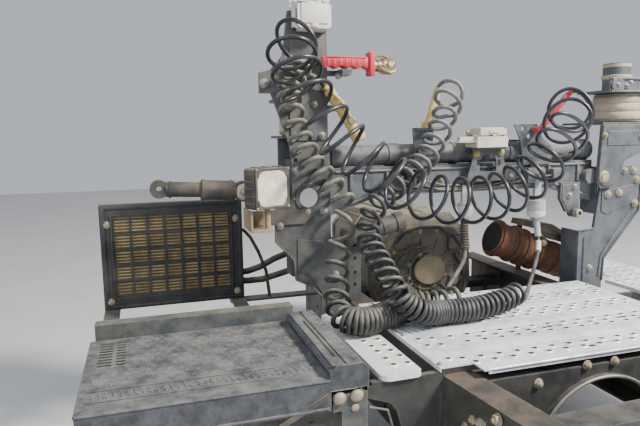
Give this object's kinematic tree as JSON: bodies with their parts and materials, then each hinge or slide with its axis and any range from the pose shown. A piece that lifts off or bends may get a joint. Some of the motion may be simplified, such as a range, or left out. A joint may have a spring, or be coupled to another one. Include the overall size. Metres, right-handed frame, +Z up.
{
  "type": "back-of-cab chassis section of a tractor unit",
  "caption": "Frame section behind a tractor unit's cab: walkway, cab rear support with air springs, coiled trailer lines, sockets, battery box, oil cooler, work lamp, gearbox end.",
  "frame": {"origin": "middle of the bolt pattern on the rear crossmember's back face", "axes": "+Y forward towards the cab, +X to the vehicle's right, +Z up"},
  "size_m": [1.933, 1.67, 1.32],
  "materials": {
    "frame_paint": "dark grey-green paint, dusty",
    "tower_paint": "grey primer under beige road dust",
    "beam_paint": "dark grey paint with dust",
    "deck_alu": "bare tread plate",
    "bearer_alu": "bare aluminium",
    "box_black": "black grained plastic",
    "cooler_black": "satin black",
    "cooler_fins": "dusty fins",
    "spring_rubber": "rubber under beige dust",
    "arm_paint": "cast arm under dust",
    "damper_paint": "dusty dark paint",
    "lamp_body": "dusty black plastic",
    "lamp_glass": "yellowed ribbed lens",
    "socket_white": "light grey plastic",
    "socket_grey": "dark grey plastic",
    "red_plastic": "red plastic",
    "yellow_plastic": "yellow plastic",
    "hose_black": "black hose",
    "hose_dusty": "black hose under dust",
    "fitting_steel": "plated steel, dulled",
    "gearbox_alu": "rough cast aluminium with dust",
    "exhaust_rust": "rusty steel",
    "shield_olive": "dulled sheet"
  },
  "bodies": {
    "chassis": {"frame_rail_left": "frame_paint", "frame_rail_right": "frame_paint", "crossmembers": "frame_paint", "deck_plate": "deck_alu", "deck_bearers": "bearer_alu", "step_plate_left": "deck_alu", "step_plate_right": "deck_alu", "step_brackets": "frame_paint", "battery_box": "box_black", "battery_bracket": "frame_paint", "cooler_bracket": "frame_paint", "cooler_frame": "cooler_black", "cooler_grille": "cooler_black", "cooler_core": "cooler_fins", "tower_left": "tower_paint", "tower_right": "tower_paint", "bridge_beam": "beam_paint", "bridge_tube": "beam_paint", "lock_cylinder": "damper_paint", "hose_post": "tower_paint", "spring_seats": "tower_paint", "cab_springs": "spring_rubber", "upper_arms": "arm_paint", "lateral_damper": "damper_paint", "lamp_bracket": "tower_paint", "socket_left": "socket_white", "socket_mid": "socket_grey", "coupling_brackets": "tower_paint", "red_coupling": "red_plastic", "yellow_coupling": "yellow_plastic", "red_sleeve": "red_plastic", "yellow_sleeve": "yellow_plastic", "port_fittings": "fitting_steel", "coil_red": "hose_black", "coil_yellow": "hose_dusty", "coil_cable": "hose_black", "tail_cable": "hose_black", "tail_yellow": "hose_black", "gearbox": "gearbox_alu", "gearbox_mount": "frame_paint", "exhaust_pipe": "exhaust_rust", "heat_shield": "shield_olive"},
    "battery_cover": {"battery_cover": "box_black"},
    "lamp": {"lamp_housing": "lamp_body", "lamp_lens": "lamp_glass"},
    "socket_left_lid": {"socket_left_lid": "socket_white"},
    "socket_mid_lid": {"socket_mid_lid": "socket_grey"}
  },
  "joints": [
    {"name": "battery_cover_lift", "type": "slide", "parent": "chassis", "child": "battery_cover", "axis": [0, 0, 1], "range_m": [0, 0.12]},
    {"name": "lamp_swivel", "type": "hinge", "parent": "chassis", "child": "lamp", "pos_m": [-0.704, 0.729, 0.54], "axis": [0, 0, 1], "range_deg": [-40, 40]},
    {"name": "socket_left_lid_hinge", "type": "hinge", "parent": "chassis", "child": "socket_left_lid", "pos_m": [-0.551, 0.762, 1.052], "axis": [-1, 0, 0], "range_deg": [0, 100], "stiffness_Nm_per_rad": 0.12, "springref_deg": -34.38},
    {"name": "socket_mid_lid_hinge", "type": "hinge", "parent": "chassis", "child": "socket_mid_lid", "pos_m": [0.037, 0.844, 0.682], "axis": [-1, 0, 0], "range_deg": [0, 95], "stiffness_Nm_per_rad": 0.12, "springref_deg": -34.38}
  ]
}
